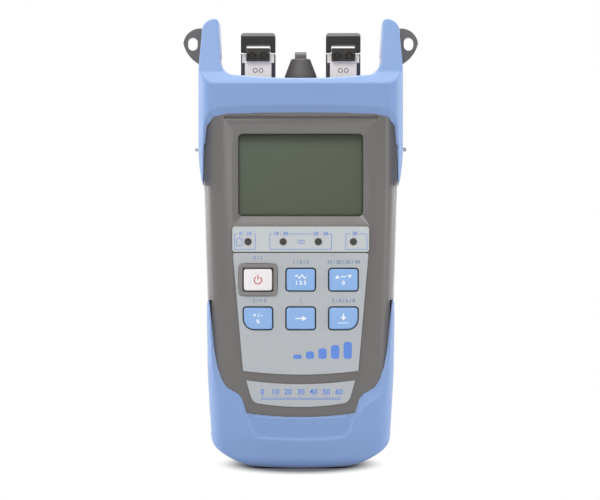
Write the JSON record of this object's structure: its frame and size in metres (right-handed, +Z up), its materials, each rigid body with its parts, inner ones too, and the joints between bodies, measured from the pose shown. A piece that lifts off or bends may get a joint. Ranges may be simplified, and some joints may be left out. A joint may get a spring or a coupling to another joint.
{
  "type": "optical power meter",
  "caption": "Handheld fibre test meter: grey two-shell case in blue rubber guards, display window, rubber-backed keys, capped optical ports on top, battery door and tilt stand behind.",
  "frame": {"origin": "middle of the footprint, on the surface that the meter stands on", "axes": "+Z up to the ports, front face towards -Y, +X to the right seen from the front"},
  "size_m": [0.1008, 0.056, 0.1901],
  "materials": {
    "case_grey": "fine satin moulded grey plastic",
    "guard_blue": "smooth satin light blue elastomer",
    "lens": "clear window",
    "display": "dark greenish liquid crystal glass",
    "backlight": "white diffuser block",
    "panel_grey": "pale grey printed panel",
    "key_white": "white key cap",
    "key_blue": "light blue key cap",
    "frame_dark": "dark key frame",
    "mat_rubber": "silicone",
    "light_dark": "unlit indicator lamp",
    "board": "green circuit board",
    "steel": "plain steel",
    "port_slate": "dark slate plastic",
    "nickel": "bright nickel",
    "ceramic": "white ceramic",
    "module_can": "plain metal can",
    "cap_black": "black moulded plastic",
    "cap_rubber": "soft grey rubber",
    "cell_wrap": "plain wrapped cell"
  },
  "bodies": {
    "housing": {"battery_cell_1": "cell_wrap", "battery_cell_2": "cell_wrap", "battery_cell_3": "cell_wrap", "battery_contacts": "nickel", "bottom_guard": "guard_blue", "case_screws": "steel", "display_backlight": "backlight", "display_glass": "display", "display_lens": "lens", "front_housing": "case_grey", "indicator_light_1": "light_dark", "indicator_light_2": "light_dark", "indicator_light_3": "light_dark", "indicator_light_4": "light_dark", "indicator_panel": "panel_grey", "keypad_mat": "mat_rubber", "keypad_panel": "panel_grey", "laser_module": "module_can", "laser_port": "nickel", "left_detector": "module_can", "left_hinge_block": "cap_black", "left_hinge_pin": "steel", "left_hinge_rivets": "steel", "left_port": "port_slate", "left_port_shield": "nickel", "left_port_sleeve": "ceramic", "main_board": "board", "name_plate": "panel_grey", "power_frame": "frame_dark", "rear_housing": "case_grey", "right_detector": "module_can", "right_hinge_block": "cap_black", "right_hinge_pin": "steel", "right_hinge_rivets": "steel", "right_port": "port_slate", "right_port_shield": "nickel", "right_port_sleeve": "ceramic", "stand_pin_left": "steel", "stand_pin_right": "steel", "top_guard": "guard_blue"},
    "stand": {"tilt_stand": "case_grey"},
    "door": {"battery_door": "case_grey", "door_screw": "steel"},
    "left_cap": {"left_dust_cap": "cap_black"},
    "right_cap": {"right_dust_cap": "cap_black"},
    "laser_cap": {"laser_port_cap": "cap_rubber"},
    "power_button": {"power_button": "key_white"},
    "wavelength_button": {"wavelength_button": "key_blue"},
    "reference_button": {"reference_button": "key_blue"},
    "unit_button": {"unit_button": "key_blue"},
    "save_button": {"save_button": "key_blue"},
    "mode_button": {"mode_button": "key_blue"}
  },
  "joints": [
    {"name": "stand_tilt", "type": "hinge", "parent": "housing", "child": "stand", "pos_m": [0, 0.0222, 0.1353], "axis": [1, 0, 0], "range_deg": [0, 40]},
    {"name": "door_removal", "type": "slide", "parent": "housing", "child": "door", "axis": [0, 1, 0], "range_m": [0, 0.04]},
    {"name": "left_cap_hinge", "type": "hinge", "parent": "housing", "child": "left_cap", "pos_m": [-0.0181, -0.0112, 0.1766], "axis": [1, 0, 0], "range_deg": [0, 110]},
    {"name": "right_cap_hinge", "type": "hinge", "parent": "housing", "child": "right_cap", "pos_m": [0.0181, -0.0112, 0.1766], "axis": [1, 0, 0], "range_deg": [0, 110]},
    {"name": "laser_cap_removal", "type": "slide", "parent": "housing", "child": "laser_cap", "axis": [0, 0, 1], "range_m": [0, 0.06]},
    {"name": "power_press", "type": "slide", "parent": "housing", "child": "power_button", "axis": [0, 1, 0], "range_m": [0, 0.0008], "stiffness_N_per_m": 300, "springref_m": -0.0004},
    {"name": "wavelength_press", "type": "slide", "parent": "housing", "child": "wavelength_button", "axis": [0, 1, 0], "range_m": [0, 0.0008], "stiffness_N_per_m": 300, "springref_m": -0.0004},
    {"name": "reference_press", "type": "slide", "parent": "housing", "child": "reference_button", "axis": [0, 1, 0], "range_m": [0, 0.0008], "stiffness_N_per_m": 300, "springref_m": -0.0004},
    {"name": "unit_press", "type": "slide", "parent": "housing", "child": "unit_button", "axis": [0, 1, 0], "range_m": [0, 0.0008], "stiffness_N_per_m": 300, "springref_m": -0.0004},
    {"name": "save_press", "type": "slide", "parent": "housing", "child": "save_button", "axis": [0, 1, 0], "range_m": [0, 0.0008], "stiffness_N_per_m": 300, "springref_m": -0.0004},
    {"name": "mode_press", "type": "slide", "parent": "housing", "child": "mode_button", "axis": [0, 1, 0], "range_m": [0, 0.0008], "stiffness_N_per_m": 300, "springref_m": -0.0004}
  ]
}
